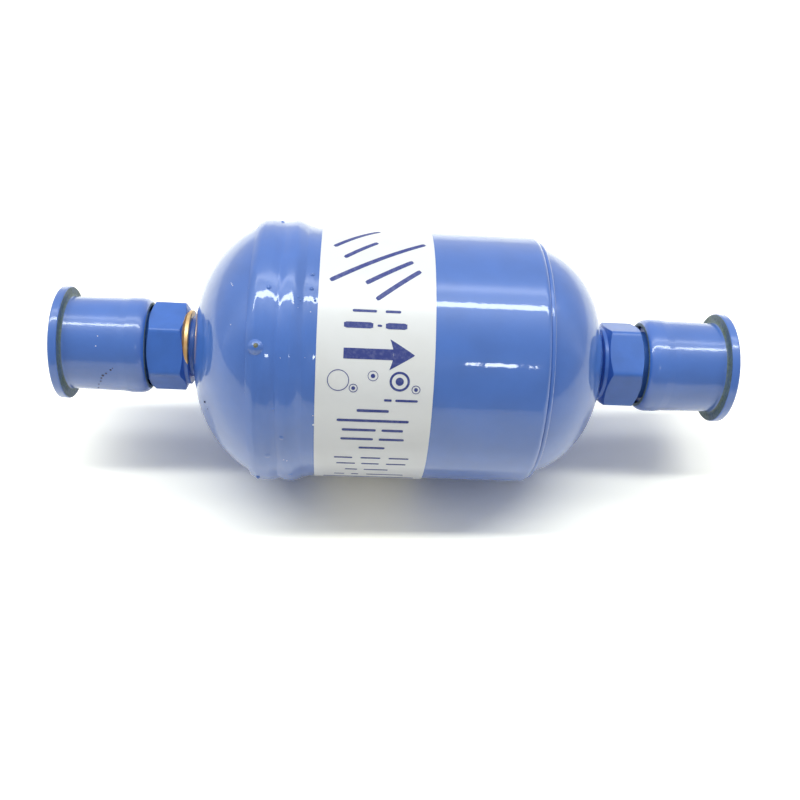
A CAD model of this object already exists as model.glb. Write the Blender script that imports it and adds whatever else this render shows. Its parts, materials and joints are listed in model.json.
import bpy
import json
import numpy as np
from math import atan2, ceil, cos, pi, radians, sin, sqrt, tan
from mathutils import Matrix, Vector


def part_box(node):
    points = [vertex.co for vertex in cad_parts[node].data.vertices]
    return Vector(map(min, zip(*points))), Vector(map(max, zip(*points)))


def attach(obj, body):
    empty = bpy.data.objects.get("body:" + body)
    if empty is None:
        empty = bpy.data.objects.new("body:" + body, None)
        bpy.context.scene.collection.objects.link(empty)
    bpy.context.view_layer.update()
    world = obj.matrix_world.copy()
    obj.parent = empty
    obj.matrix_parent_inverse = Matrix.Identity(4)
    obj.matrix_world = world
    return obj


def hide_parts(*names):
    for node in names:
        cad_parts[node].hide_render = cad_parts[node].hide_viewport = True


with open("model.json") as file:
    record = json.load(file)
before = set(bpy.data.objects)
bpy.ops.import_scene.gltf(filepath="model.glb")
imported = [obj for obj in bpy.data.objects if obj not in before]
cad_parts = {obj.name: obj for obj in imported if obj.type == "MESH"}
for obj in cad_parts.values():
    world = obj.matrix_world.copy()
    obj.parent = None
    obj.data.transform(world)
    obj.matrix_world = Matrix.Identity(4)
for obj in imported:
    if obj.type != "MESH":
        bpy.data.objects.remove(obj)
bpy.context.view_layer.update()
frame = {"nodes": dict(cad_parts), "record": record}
nodes = frame["nodes"]
mm = 0.001
chance = np.random.default_rng(11)
print("frame loaded,", len(nodes), "nodes")

# places that several pieces share, read from the frame; the drier lies along X
shellLow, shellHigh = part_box("shell")
domeLow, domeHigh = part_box("inlet_dome")
outletLow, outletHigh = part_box("outlet_dome")
labelLow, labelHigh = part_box("label_band")
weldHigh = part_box("lap_weld")[1]
shellRadius = shellHigh.z
inletCrown = domeLow.x
skirtEdge = domeHigh.x
outletCrown = outletHigh.x
threadSize = frame["record"]["mounts"][0]["dims"]
threadRadius = threadSize["r_mm"] * mm


def wave(angle, orders, phases):
    # a sum of cosines of whole orders, so that it meets itself after a full turn, between -1 and 1
    return sum(np.cos(order * angle + phase) for order, phase in zip(orders, phases)) / len(orders)


def smoothMax(softness, *heights):
    # the largest of several curves, blended over about the given softness: the logarithm of the
    # sum of their exponentials
    return softness * np.log(sum(np.exp(np.asarray(height) / softness) for height in heights))


def onRound(station, radius, angle):
    # a point on a cylinder round X, with the angle from -Y upwards through +Z
    return np.stack(np.broadcast_arrays(station, -radius * np.cos(angle), radius * np.sin(angle)), axis=-1)


def finishMesh(name, shape, materials, body, replaced=(), sharp=32, bare=None):
    # a piece from its points and its arrays of faces, which are turned over when the signed
    # volume, summed over the faces as fans of triangles, says that they point inwards
    points, faceSets = shape
    volume = 0
    for faces in faceSets:
        corners = points[faces]
        for n in range(1, faces.shape[1] - 1):
            volume += np.einsum("ij,ij->", corners[:, 0], np.cross(corners[:, n], corners[:, n + 1]))
    if volume < 0:
        faceSets = [faces[:, ::-1] for faces in faceSets]
    mesh = bpy.data.meshes.new(name)
    mesh.from_pydata(points.tolist(), [], [face for faces in faceSets for face in faces.tolist()])
    mesh.shade_smooth()
    mesh.set_sharp_from_angle(angle=radians(sharp))
    if bare is not None:
        layer = mesh.attributes.new("bare", "FLOAT", "POINT")
        layer.data.foreach_set("value", np.asarray(bare, np.float32).ravel())
    for material in materials:
        mesh.materials.append(material)
    piece = bpy.data.objects.new(name, mesh)
    bpy.context.scene.collection.objects.link(piece)
    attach(piece, body)
    if replaced:
        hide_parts(*replaced)
    return piece


def roundedPath(corners, step, closed=True):
    # straight legs between (station, radius, rounding) corners, each corner a tangent arc,
    # with points no further apart than step
    corners = np.array(corners, float)
    runs = []
    for n, (here, rounding) in enumerate(zip(corners[:, :2], corners[:, 2])):
        loose = not closed and n in (0, len(corners) - 1)
        if rounding == 0 or loose:
            runs.append(here[None])
            continue
        back = corners[n - 1, :2] - here
        forth = corners[(n + 1) % len(corners), :2] - here
        back, forth = back / np.hypot(*back), forth / np.hypot(*forth)
        half = np.arccos(np.clip(back @ forth, -1, 1)) / 2
        inward = (back + forth) / np.hypot(*(back + forth))
        centre = here + inward * rounding / sin(half)
        start = here + back * rounding / tan(half) - centre
        end = here + forth * rounding / tan(half) - centre
        begin = atan2(start[1], start[0])
        sweep = (atan2(end[1], end[0]) - begin + pi) % (2 * pi) - pi
        turn = begin + sweep * np.linspace(0, 1, 7)
        runs.append(centre + rounding * np.stack((np.cos(turn), np.sin(turn)), axis=1))
    return divided(np.vstack(runs), step, closed)


def divided(path, step, closed):
    # the same path with its long legs divided evenly
    ends = np.roll(path, -1, axis=0) if closed else path[1:]
    legs = []
    for start, end in zip(path, ends):
        count = max(1, ceil(np.hypot(*(end - start)) / step))
        legs.append(start + (end - start) * np.linspace(0, 1, count, endpoint=False)[:, None])
    if not closed:
        legs.append(path[-1:])
    return np.vstack(legs)


def turnedMesh(profile, segments, shaping, turn=0.0):
    # a profile of (station, radius) turned round X, with its radii shaped by angle; a profile that
    # starts and ends on the axis closes in two poles, and any other closes on itself
    angle = turn + 2 * pi * np.arange(segments) / segments
    poles = profile[0, 1] == 0
    rows = profile[1:-1] if poles else profile
    count = len(rows)
    station, radius = rows[:, :1], rows[:, 1:]
    points = onRound(station, shaping(station, radius, angle[None]), angle[None]).reshape(-1, 3)
    index = np.arange(count * segments).reshape(count, segments)
    beside = np.roll(index, -1, axis=1)
    if poles:
        above, besideAbove = index[1:], beside[1:]
        index, beside = index[:-1], beside[:-1]
    else:
        above, besideAbove = np.roll(index, -1, axis=0), np.roll(beside, -1, axis=0)
    faceSets = [np.stack((index, beside, besideAbove, above), axis=-1).reshape(-1, 4)]
    if poles:
        points = np.vstack((points, [[profile[0, 0], 0, 0], [profile[-1, 0], 0, 0]]))
        first, last = np.arange(segments), np.arange(segments) + (count - 1) * segments
        foot, top = count * segments, count * segments + 1
        faceSets.append(np.stack((np.roll(first, -1), first, np.full(segments, foot)), axis=1))
        faceSets.append(np.stack((last, np.roll(last, -1), np.full(segments, top)), axis=1))
    return points, faceSets


def plateMesh(station, angle, low, high, closed=False):
    # a thin plate that lies on the cylinder, from the low radius to the high one, over a grid of
    # stations and angles; a closed plate meets itself along its first direction
    count = station.size
    points = np.vstack((
        onRound(station, high, angle).reshape(-1, 3),
        onRound(station, low, angle).reshape(-1, 3),
    ))
    index = np.arange(count).reshape(station.shape)
    if closed:
        grown = np.vstack((index, index[:1]))
        rim = [np.append(line, line[0]) for line in (index[:, 0], index[::-1, -1])]
    else:
        grown = index
        rim = [np.concatenate((index[:, 0], index[-1, 1:], index[-2::-1, -1], index[0, -2::-1]))]
    quads = np.stack((grown[:-1, :-1], grown[:-1, 1:], grown[1:, 1:], grown[1:, :-1]), axis=-1)
    quads = quads.reshape(-1, 4)
    sides = [np.stack((line[:-1], line[1:], line[1:] + count, line[:-1] + count), axis=1) for line in rim]
    return points, [np.vstack((quads, quads[:, ::-1] + count, *sides))]


def joined(meshes):
    # several meshes as one: each one's faces count on from the points before it
    starts = np.cumsum([0] + [len(points) for points, _ in meshes])
    faceSets = [faces + start for (_, sets), start in zip(meshes, starts) for faces in sets]
    return np.vstack([points for points, _ in meshes]), faceSets


def linear(hexColour):
    # an sRGB hex colour as linear light with full alpha
    parts = [int(hexColour[n:n + 2], 16) / 255 for n in (1, 3, 5)]
    return tuple(p / 12.92 if p <= 0.04045 else ((p + 0.055) / 1.055) ** 2.4 for p in parts) + (1.0,)


def pair(look, one, other):
    # two colours of a dictionary as linear light
    return linear(look[one]), linear(look[other])


def addNode(tree, kind, inputs=None, **settings):
    # one node with its settings and links: an input takes a constant, another node's output, or a
    # node, which stands for its first output in use. A colour Mix has its factor at input 0 and its
    # colours at 6 and 7.
    node = tree.nodes.new("ShaderNode" + kind)
    for name, value in settings.items():
        setattr(node, name, value)
    for socket, value in (inputs or {}).items():
        if isinstance(value, bpy.types.Node):
            value = next(output for output in value.outputs if output.enabled)
        if isinstance(value, bpy.types.NodeSocket):
            tree.links.new(value, node.inputs[socket])
        else:
            node.inputs[socket].default_value = value
    return node


def newMaterial(name):
    # an empty node tree and the Object coordinates of whatever wears it
    material = bpy.data.materials.new(name)
    material.use_nodes = True
    material.node_tree.nodes.clear()
    place = addNode(material.node_tree, "TexCoord").outputs["Object"]
    return material, material.node_tree, place


def mottled(tree, place, colours, width, rise, detail=3.0, roughness=0.5, most=1.0):
    # noise with lumps about the width across; its rise from one level to another gives a share,
    # from none to the most, and by that share the second colour is mixed into the first
    lumps = addNode(tree, "TexNoise", {
        "Vector": place, "Scale": 1 / width, "Detail": detail, "Roughness": roughness,
    })
    share = addNode(tree, "MapRange", {
        "Value": lumps, "From Min": rise[0], "From Max": rise[1], "To Max": most,
    })
    colour = addNode(tree, "Mix", {0: share, 6: colours[0], 7: colours[1]}, data_type="RGBA")
    return lumps, share, colour


paint = {
    "blue": "#4676cb",           # the film where it is of full thickness
    "deepBlue": "#426fbf",       # where it has run thick
    "cloudWidth": 9 * mm,        # of the change between the two
    "dust": "#9fb4e6",           # dust nibs that stand in the film
    "dustSpacing": 2.2 * mm,
    "dustHeight": 1.5,           # as a multiple of the orange peel's depth
    "peelWidth": 1.0 * mm,       # of the waves of orange peel
    "peelDepth": 0.007 * mm,
    "fineShare": 0.06,           # of it in waves a fifth as wide
    "underRough": 0.35,          # roughness under the wet coat
}


def enamel(name, rough, peel, dust):
    # gloss alkyd enamel, dipped or sprayed thick: wet shine, soft orange peel, a few dust nibs.
    # Peel multiplies the waves' depth, and dust is the share of places that hold a nib.
    material, tree, place = newMaterial(name)
    blues = pair(paint, "blue", "deepBlue")
    film = mottled(tree, place, blues, paint["cloudWidth"], rise=(0.35, 0.7))[-1]
    cells = addNode(tree, "TexVoronoi", {"Vector": place, "Scale": 1 / paint["dustSpacing"]}).outputs
    chosen = addNode(tree, "MapRange", {
        "Value": cells["Color"], "From Min": 1 - dust, "From Max": 1 - dust + 0.01,
    })
    spot = addNode(tree, "MapRange", {
        "Value": cells["Distance"], "From Min": 0.05, "From Max": 0.075, "To Min": 1.0, "To Max": 0.0,
    })
    nib = addNode(tree, "Math", {0: chosen, 1: spot}, operation="MULTIPLY")
    colour = addNode(tree, "Mix", {0: nib, 6: film, 7: linear(paint["dust"])}, data_type="RGBA")
    broad = addNode(tree, "TexNoise", {"Vector": place, "Scale": 1 / paint["peelWidth"], "Detail": 1.0})
    fine = addNode(tree, "TexNoise", {"Vector": place, "Scale": 5 / paint["peelWidth"]})
    waves = addNode(tree, "Math", {0: fine, 1: paint["fineShare"], 2: broad}, operation="MULTIPLY_ADD")
    height = addNode(tree, "Math", {0: nib, 1: paint["dustHeight"], 2: waves}, operation="MULTIPLY_ADD")
    relief = addNode(tree, "Bump", {"Height": height, "Distance": peel * paint["peelDepth"]})
    shader = addNode(tree, "BsdfPrincipled", {
        "Base Color": colour, "Roughness": paint["underRough"], "IOR": 1.5, "Normal": relief,
        "Coat Weight": 1.0, "Coat Roughness": rough, "Coat Normal": relief,
    })
    addNode(tree, "OutputMaterial", {"Surface": shader})
    return material


blueEnamel = enamel("glossBlueEnamel", rough=0.05, peel=1.0, dust=0.05)
capEnamel = enamel("blueEnamelOnMouldedCap", rough=0.12, peel=2.5, dust=0.12)
runEnamel = enamel("enamelRunsAndBeads", rough=0.05, peel=0.5, dust=0.0)

polythene = {
    "dark": "#56675f",
    "light": "#75867c",
    "overspray": "#56709f",      # the paint dust that settled on it
    "grainWidth": 0.7 * mm,
    "grainDepth": 0.03 * mm,
    "dustWidth": 3.5 * mm,
    "dustCover": 0.45,           # of the densest dust
}


def makePolythene():
    # bare olive polythene with paint dust on it: dull, greenish grey, mottled
    material, tree, place = newMaterial("olivePolythene")
    look = polythene
    grain, bare = mottled(
        tree, place, pair(look, "dark", "light"), look["grainWidth"], rise=(0.35, 0.65),
        detail=4.0, roughness=0.7,
    )[1:]
    dusted = bare, linear(look["overspray"])
    colour = mottled(
        tree, place, dusted, look["dustWidth"], rise=(0.4, 0.65), detail=2.0, most=look["dustCover"],
    )[-1]
    relief = addNode(tree, "Bump", {"Height": grain, "Distance": polythene["grainDepth"]})
    shader = addNode(tree, "BsdfPrincipled", {
        "Base Color": colour, "Roughness": 0.55, "IOR": 1.5, "Normal": relief,
    })
    addNode(tree, "OutputMaterial", {"Surface": shader})
    return material


brass = {
    "bright": "#f0d09a",
    "tarnished": "#d8a86e",
    "tarnishWidth": 2.5 * mm,
    "toolMarkWidth": 0.12 * mm,  # between the marks of the turning tool, along the axis
    "toolMarkStretch": 0.02,     # of the marks' pattern round the axis
    "edgeWidth": 0.9 * mm,       # of the rags along the paint's edge
    "paintCloudWidth": 4 * mm,
    "paintWaveWidth": 1.4 * mm,
    "reliefDepth": 0.012 * mm,
    "metallic": 0.8,
}


def makePaintedBrass():
    # turned brass, golden with fine tool marks, painted where the cap did not cover it: bare metal
    # follows the "bare" attribute, with a ragged edge
    material, tree, place = newMaterial("turnedBrassWithEnamel")
    edge = addNode(tree, "TexNoise", {"Vector": place, "Scale": 1 / brass["edgeWidth"], "Detail": 3.0})
    ragged = addNode(tree, "MapRange", {"Value": edge, "From Min": 0.3, "From Max": 0.7, "To Max": 0.5})
    uncovered = addNode(tree, "Attribute", attribute_name="bare").outputs["Fac"]
    both = addNode(tree, "Math", {0: uncovered, 1: ragged}, operation="ADD")
    bare = addNode(tree, "MapRange", {"Value": both, "From Min": 0.6, "From Max": 0.85})
    golds, blues = pair(brass, "bright", "tarnished"), pair(paint, "blue", "deepBlue")
    metal = mottled(tree, place, golds, brass["tarnishWidth"], rise=(0.35, 0.7))[-1]
    film = mottled(tree, place, blues, brass["paintCloudWidth"], rise=(0.35, 0.7))[-1]
    colour = addNode(tree, "Mix", {0: bare, 6: film, 7: metal}, data_type="RGBA")
    stretch = brass["toolMarkStretch"]
    stretched = addNode(tree, "Mapping", {"Vector": place, "Scale": (1.0, stretch, stretch)})
    toolMarks = addNode(tree, "TexNoise", {"Vector": stretched, "Scale": 1 / brass["toolMarkWidth"]})
    waves = addNode(tree, "TexNoise", {"Vector": place, "Scale": 1 / brass["paintWaveWidth"]})
    height = addNode(tree, "Math", {0: toolMarks, 1: bare, 2: waves}, operation="MULTIPLY_ADD")
    relief = addNode(tree, "Bump", {"Height": height, "Distance": brass["reliefDepth"]})
    rough = addNode(tree, "MapRange", {"Value": bare, "To Min": 0.3, "To Max": 0.36})
    shine = addNode(tree, "Math", {0: bare, 1: brass["metallic"]}, operation="MULTIPLY")
    shader = addNode(tree, "BsdfPrincipled", {
        "Base Color": colour, "Metallic": shine, "Roughness": rough, "Normal": relief,
    })
    addNode(tree, "OutputMaterial", {"Surface": shader})
    return material


paper = {
    "white": "#f4f4f3",
    "stained": "#eeedea",
    "stainWidth": 12 * mm,
    "fibreWidth": 0.5 * mm,
    "fibreDepth": 0.004 * mm,
}


def makePaper():
    # white vinyl-coated paper: faint fibre, slightly warm stains, low sheen
    material, tree, place = newMaterial("coatedLabelPaper")
    whites = pair(paper, "white", "stained")
    colour = mottled(tree, place, whites, paper["stainWidth"], rise=(0.5, 0.8))[-1]
    fibre = addNode(tree, "TexNoise", {
        "Vector": place, "Scale": 1 / paper["fibreWidth"], "Detail": 4.0, "Roughness": 0.7,
    })
    relief = addNode(tree, "Bump", {"Height": fibre, "Distance": paper["fibreDepth"]})
    shader = addNode(tree, "BsdfPrincipled", {
        "Base Color": colour, "Roughness": 0.32, "IOR": 1.5, "Normal": relief,
        "Coat Weight": 0.5, "Coat Roughness": 0.2,
    })
    addNode(tree, "OutputMaterial", {"Surface": shader})
    return material


printInk = {"full": "#39448a", "thin": "#8d94bb", "thinShare": 0.35, "grainWidth": 0.8 * mm}


def makeInk():
    # blue flexographic ink, thin in places, so that the paper greys it
    material, tree, place = newMaterial("blueLabelInk")
    colour = mottled(
        tree, place, pair(printInk, "full", "thin"), printInk["grainWidth"], rise=(0.45, 0.75),
        roughness=0.7, most=printInk["thinShare"],
    )[-1]
    shader = addNode(tree, "BsdfPrincipled", {"Base Color": colour, "Roughness": 0.5, "IOR": 1.45})
    addNode(tree, "OutputMaterial", {"Surface": shader})
    return material


desiccant = {"bead": "#d9d2c2", "gap": "#8c8474", "beadSpacing": 1.5 * mm, "gapDepth": 0.3 * mm}


def makeDesiccant():
    # bonded desiccant: pale round beads, set in a porous block, with darker gaps between them
    material, tree, place = newMaterial("bondedDesiccantBeads")
    beads = addNode(tree, "TexVoronoi", {"Vector": place, "Scale": 1 / desiccant["beadSpacing"]})
    gap = addNode(tree, "MapRange", {"Value": beads, "From Min": 0.25, "From Max": 0.6})
    pale, dark = pair(desiccant, "bead", "gap")
    colour = addNode(tree, "Mix", {0: gap, 6: pale, 7: dark}, data_type="RGBA")
    relief = addNode(tree, "Bump", {"Height": gap, "Distance": desiccant["gapDepth"]}, invert=True)
    shader = addNode(tree, "BsdfPrincipled", {"Base Color": colour, "Roughness": 0.8, "Normal": relief})
    addNode(tree, "OutputMaterial", {"Surface": shader})
    return material


# two shades, the width and depth of the grain, the roughness, and 1 for a metal
plainLooks = {
    "rustUnderPaint": ("#7b7350", "#5d6a62", 0.6 * mm, 0.05 * mm, 0.5, 0),     # brown and olive
    "chippedToPrimer": ("#232a45", "#3a4263", 0.4 * mm, 0.03 * mm, 0.6, 0),    # nearly black, dull
    "paperDust": ("#f2f4f8", "#dfe6f4", 0.4 * mm, 0.03 * mm, 0.6, 0),          # white flecks
    "pressedSteel": ("#9a9c9e", "#7f8285", 0.8 * mm, 0.01 * mm, 0.38, 1),      # grey satin metal
    "drawnSpringWire": ("#8d8f92", "#6d7074", 0.3 * mm, 0.01 * mm, 0.3, 1),    # smooth dark metal
    "stainlessScreen": ("#a9abad", "#8b8e91", 0.3 * mm, 0.01 * mm, 0.34, 1),   # light satin metal
    "glassFibreFelt": ("#e6dfc9", "#c9c0a6", 0.4 * mm, 0.15 * mm, 0.9, 0),     # cream, soft and matt
}


def makePlain(name, one, other, width, depth, rough, metallic):
    # a mottled solid: two shades, a grain of real size and the same grain as relief
    material, tree, place = newMaterial(name)
    shades = linear(one), linear(other)
    pattern, _, colour = mottled(tree, place, shades, width, rise=(0.35, 0.65), detail=4.0, roughness=0.6)
    relief = addNode(tree, "Bump", {"Height": pattern, "Distance": depth})
    shader = addNode(tree, "BsdfPrincipled", {
        "Base Color": colour, "Metallic": metallic, "Roughness": rough, "Normal": relief,
    })
    addNode(tree, "OutputMaterial", {"Surface": shader})
    return material


olivePolythene = makePolythene()
paintedBrass = makePaintedBrass()
labelPaper = makePaper()
labelInk = makeInk()
desiccantBeads = makeDesiccant()
plain = {name: makePlain(name, *look) for name, look in plainLooks.items()}
print("materials made")


# The skin round the lap joint, its heights counted from the shell. Crests are stations.
bands = {
    "skirtCrest": -25.9 * mm,
    "skirtRise": 1.34 * mm,
    "skirtCurve": 0.084 / mm,       # how fast it falls away from its crest, times the distance squared
    "skirtShoulder": 1.5 * mm,      # beyond this it drops to the dome, faster where it is proud
    "shoulderCurve": 0.02 / mm,
    "shoulderExtra": 0.13 / mm,
    "proudAngle": 75,               # the skirt stands out most here, high on the front
    "proudSpread": 50,
    "weldCrest": -21.3 * mm,
    "weldRise": 1.35 * mm,
    "weldCurve": 0.1 / mm,          # on the skirt's side
    "weldReach": 4.3 * mm,          # how far the weld runs out over the shell
    "steepReach": 3.4 * mm,         # and where it is steepest
    "steepAngle": 68,
    "steepSpread": 26,
    "runCrest": -17.6 * mm,         # low run of paint beside the label
    "runRise": 0.3 * mm,
    "runWidth": 0.9 * mm,
    "valleyBlend": 0.08 * mm,       # how softly the skirt flows into the weld
    "valleyFill": 0.3 * mm,         # more of that where paint has pooled, on the upper back
    "fillLoss": 0.3,                # share of it taken off both crests again
    "poolAngle": 128,
    "poolSpread": 26,
    "domeBlend": 0.45 * mm,         # how softly the dome flows into the skirt
    "sway": 0.16 * mm,              # how far the crests wander along the axis
    "weldSway": 1.4,                # and how many times that the weld's crest does
    "swell": 0.10 * mm,             # how much the heights wander
    "ripple": 0.02 * mm,            # height of the fine ripples
    "rippleOrders": (9, 14, 23, 31, 37),
    "rippleSlant": 40,              # radians a metre, so that they cross the bands askew
    "rippleAcross": 4100,           # radians a metre along the axis
    "rippleFade": 0.4 * mm,         # height over which they grow in on the shell
}
orders = (2, 3, 5, 7, 11)
phases = chance.uniform(0, 2 * pi, (6, len(orders)))


def nearAngle(angle, middle, spread):
    # a bell curve of the angle, 1 at the middle, both given in degrees
    return np.exp(-((angle - radians(middle)) / radians(spread)) ** 2)


def bandRise(station, angle):
    # the skirt is a parabola across its crest, with a second one taken off beyond its shoulder; the
    # weld is a parabola before its crest and half a cosine wave beyond it; the run of paint is a
    # bell curve. Crests and heights wander with the angle, and fine ripples lie over them all.
    across = station - bands["skirtCrest"] - bands["sway"] * wave(angle, orders, phases[0])
    skirt = bands["skirtRise"] + bands["swell"] * wave(angle, orders, phases[1])
    skirt = skirt - bands["skirtCurve"] * across**2
    proud = nearAngle(angle, bands["proudAngle"], bands["proudSpread"])
    fall = bands["shoulderCurve"] + bands["shoulderExtra"] * proud
    skirt = skirt - fall * np.maximum(-across - bands["skirtShoulder"], 0) ** 2
    weldSway = bands["weldSway"] * bands["sway"]
    across = station - bands["weldCrest"] - weldSway * wave(angle, orders, phases[2])
    weld = bands["weldRise"] + bands["swell"] * wave(angle, orders, phases[3])
    steep = nearAngle(angle, bands["steepAngle"], bands["steepSpread"])
    reach = bands["weldReach"] + (bands["steepReach"] - bands["weldReach"]) * steep
    bell = 0.5 + 0.5 * np.cos(pi * np.clip(across / reach, 0, 1))
    weld = weld * bell - bands["weldCurve"] * np.minimum(across, 0) ** 2
    across = station - bands["runCrest"] - bands["sway"] * wave(angle, orders, phases[4])
    run = bands["runRise"] * (0.5 + 0.5 * steep + 0.4 * wave(angle, orders, phases[5]))
    run = run * np.exp(-(across / bands["runWidth"]) ** 2)
    fine = bands["ripple"] * wave(angle + bands["rippleSlant"] * station, bands["rippleOrders"], phases[1])
    bend = 2 * np.sin(3 * angle) + np.sin(7 * angle)
    fine = fine + 0.5 * bands["ripple"] * np.sin(bands["rippleAcross"] * station + bend)
    return skirt, weld, run, fine


inletDome = {
    "wall": 1.2 * mm,
    "knuckleRadius": 22.2 * mm,
    "skirtStart": inletCrown + 12.0 * mm,   # the knuckle arc is followed to here, then blended
    "creaseRadius": shellRadius + 0.1 * mm,
    "creaseDepth": 12.7 * mm,
    "sinkStart": 0.6 * mm,                  # past the crease, from where the arc sinks under the skirt
    "sinkCurve": 1.5,
    "holeRadius": 5.5 * mm,
    "lapRadius": shellRadius + 0.05 * mm,
    "lap": 3.3 * mm,
    "dimple": 0.03 * mm,                    # faint dimples from drawing, as waves round and along
    "dimpleOrders": (2, 4, 5, 8, 9),
    "dimpleAlong": 260,
    "dimpleFade": 4 * mm,
    "arcRows": 56,
    "skirtRows": 64,
    "insideRows": 30,
    "segments": 360,
}


def knuckleCentre():
    # radius of the knuckle arc's centre, from the arc's radius at the crease by Pythagoras
    knuckle, depth = inletDome["knuckleRadius"], inletDome["creaseDepth"]
    return inletDome["creaseRadius"] - sqrt(2 * knuckle * depth - depth**2)


def domeRiseAt(station):
    # the knuckle arc carried on past the crease, where a parabola sinks it under the skirt
    knuckle = inletDome["knuckleRadius"]
    fromCentre = station - inletCrown - knuckle
    arc = knuckleCentre() + np.sqrt(np.maximum(knuckle**2 - fromCentre**2, 0)) - shellRadius
    past = np.maximum(station - inletCrown - inletDome["creaseDepth"] - inletDome["sinkStart"], 0)
    return arc - past**2 * inletDome["sinkCurve"] / mm


def bandSkin(station, angle, onShell):
    # height of the painted skin: rings joined softly to each other, then to the dome or the shell
    skirtRise, weldRise, run, fine = bandRise(station, angle)
    pooled = bands["valleyFill"] * nearAngle(angle, bands["poolAngle"], bands["poolSpread"])
    rings = smoothMax(bands["valleyBlend"] + pooled, skirtRise, weldRise) - bands["fillLoss"] * pooled
    if onShell:
        return rings + run + fine * np.clip(rings / bands["rippleFade"], 0, 1)
    return smoothMax(bands["domeBlend"], domeRiseAt(station) + 0 * rings, rings) + fine


def makeInletDome():
    # a flat crown, the knuckle arc and the skirt outside, then the lap and the same arc a wall
    # thickness further in
    size = inletDome
    knuckle, centreR = size["knuckleRadius"], knuckleCentre()
    centreX = inletCrown + knuckle
    reach = np.arccos(1 - (size["skirtStart"] - inletCrown) / knuckle)
    turn = np.linspace(0, reach, size["arcRows"])
    flat = np.linspace(size["holeRadius"], centreR, 6)[:-1]
    crown = np.stack((0 * flat + inletCrown, flat), axis=1)
    arc = np.stack((centreX - knuckle * np.cos(turn), centreR + knuckle * np.sin(turn)), axis=1)
    skirtX = np.linspace(size["skirtStart"], skirtEdge, size["skirtRows"])[1:]
    skirt = np.stack((skirtX, 0 * skirtX + shellRadius), axis=1)
    inner = knuckle - size["wall"]
    shellEnd = skirtEdge - size["lap"]
    back = np.linspace(np.arccos((centreX - shellEnd) / inner), 0, size["insideRows"])
    inside = np.stack((centreX - inner * np.cos(back), centreR + inner * np.sin(back)), axis=1)
    lapEnds = np.array([[skirtEdge, size["lapRadius"]], [shellEnd, size["lapRadius"]]])
    lapRun = divided(lapEnds, 0.5 * mm, closed=False)
    crownInside = np.array([[inletCrown + size["wall"], size["holeRadius"]]])
    profile = np.vstack((crown, arc, skirt, lapRun, inside, crownInside))
    outerCount = len(crown) + len(arc)

    def shaping(station, radius, angle):
        # the knuckle arc and the skirt's ring flow together; the dimples fade out at the crown
        radius = radius + 0 * angle
        rows = slice(outerCount, outerCount + len(skirt))
        radius[rows] = shellRadius + bandSkin(station[rows], angle, False)
        outer = station[:outerCount]
        lumps = size["dimple"] * wave(angle, size["dimpleOrders"], phases[5])
        lumps = lumps * np.sin(size["dimpleAlong"] * outer)
        fade = np.clip((outer - inletCrown) / size["dimpleFade"], 0, 1)
        radius[:outerCount] = radius[:outerCount] + lumps * fade
        return radius

    shape = turnedMesh(profile, size["segments"], shaping)
    finishMesh("inletDomeSkin", shape, [blueEnamel], "drier", ["inlet_dome"])


lapWeld = {
    "end": weldHigh.x + 1.2 * mm,
    "depth": 0.15 * mm,      # how far its end reaches into the shell's wall
    "toe": 0.04 * mm,        # how far its edge sinks in there, and how far the shell lies under it
    "toeWidth": 0.4 * mm,
    "rows": 46,
    "segments": 360,
}


def makeLapWeld():
    # the skin over the lap joint, from the skirt's edge to the shell
    across = np.linspace(skirtEdge, lapWeld["end"], lapWeld["rows"])
    outer = np.stack((across, 0 * across + shellRadius), axis=1)
    innerEnds = np.array([[lapWeld["end"], shellRadius - lapWeld["depth"]], [skirtEdge, shellRadius]])
    inner = divided(innerEnds, 1 * mm, closed=False)

    def shaping(station, radius, angle):
        # the weld's own ring, blended into the skirt on one side and the shell on the other
        radius = radius + 0 * angle
        x = station[:len(across)]
        inwards = 1 - np.clip((lapWeld["end"] - x) / lapWeld["toeWidth"], 0, 1)
        radius[:len(across)] = shellRadius + bandSkin(x, angle, True) - lapWeld["toe"] * inwards
        return radius

    shape = turnedMesh(np.vstack((outer, inner)), lapWeld["segments"], shaping)
    finishMesh("lapWeldBead", shape, [blueEnamel], "drier", ["lap_weld"])


makeInletDome()
makeLapWeld()
print("inlet dome and lap weld made")

shellTube = {
    "wall": 1.2 * mm,
    "endRound": 1.1 * mm,
    "labelFade": 0.35 * mm,   # over which the run of paint ends at the label
    "lapFade": 0.5 * mm,      # and the skin starts at the skirt's edge
    "wave": 0.012 * mm,       # long faint waves in the film, round and along
    "waveOrders": (3, 5, 8, 13, 19),
    "waveAlong": 1300,
    "segments": 360,
}


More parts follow.
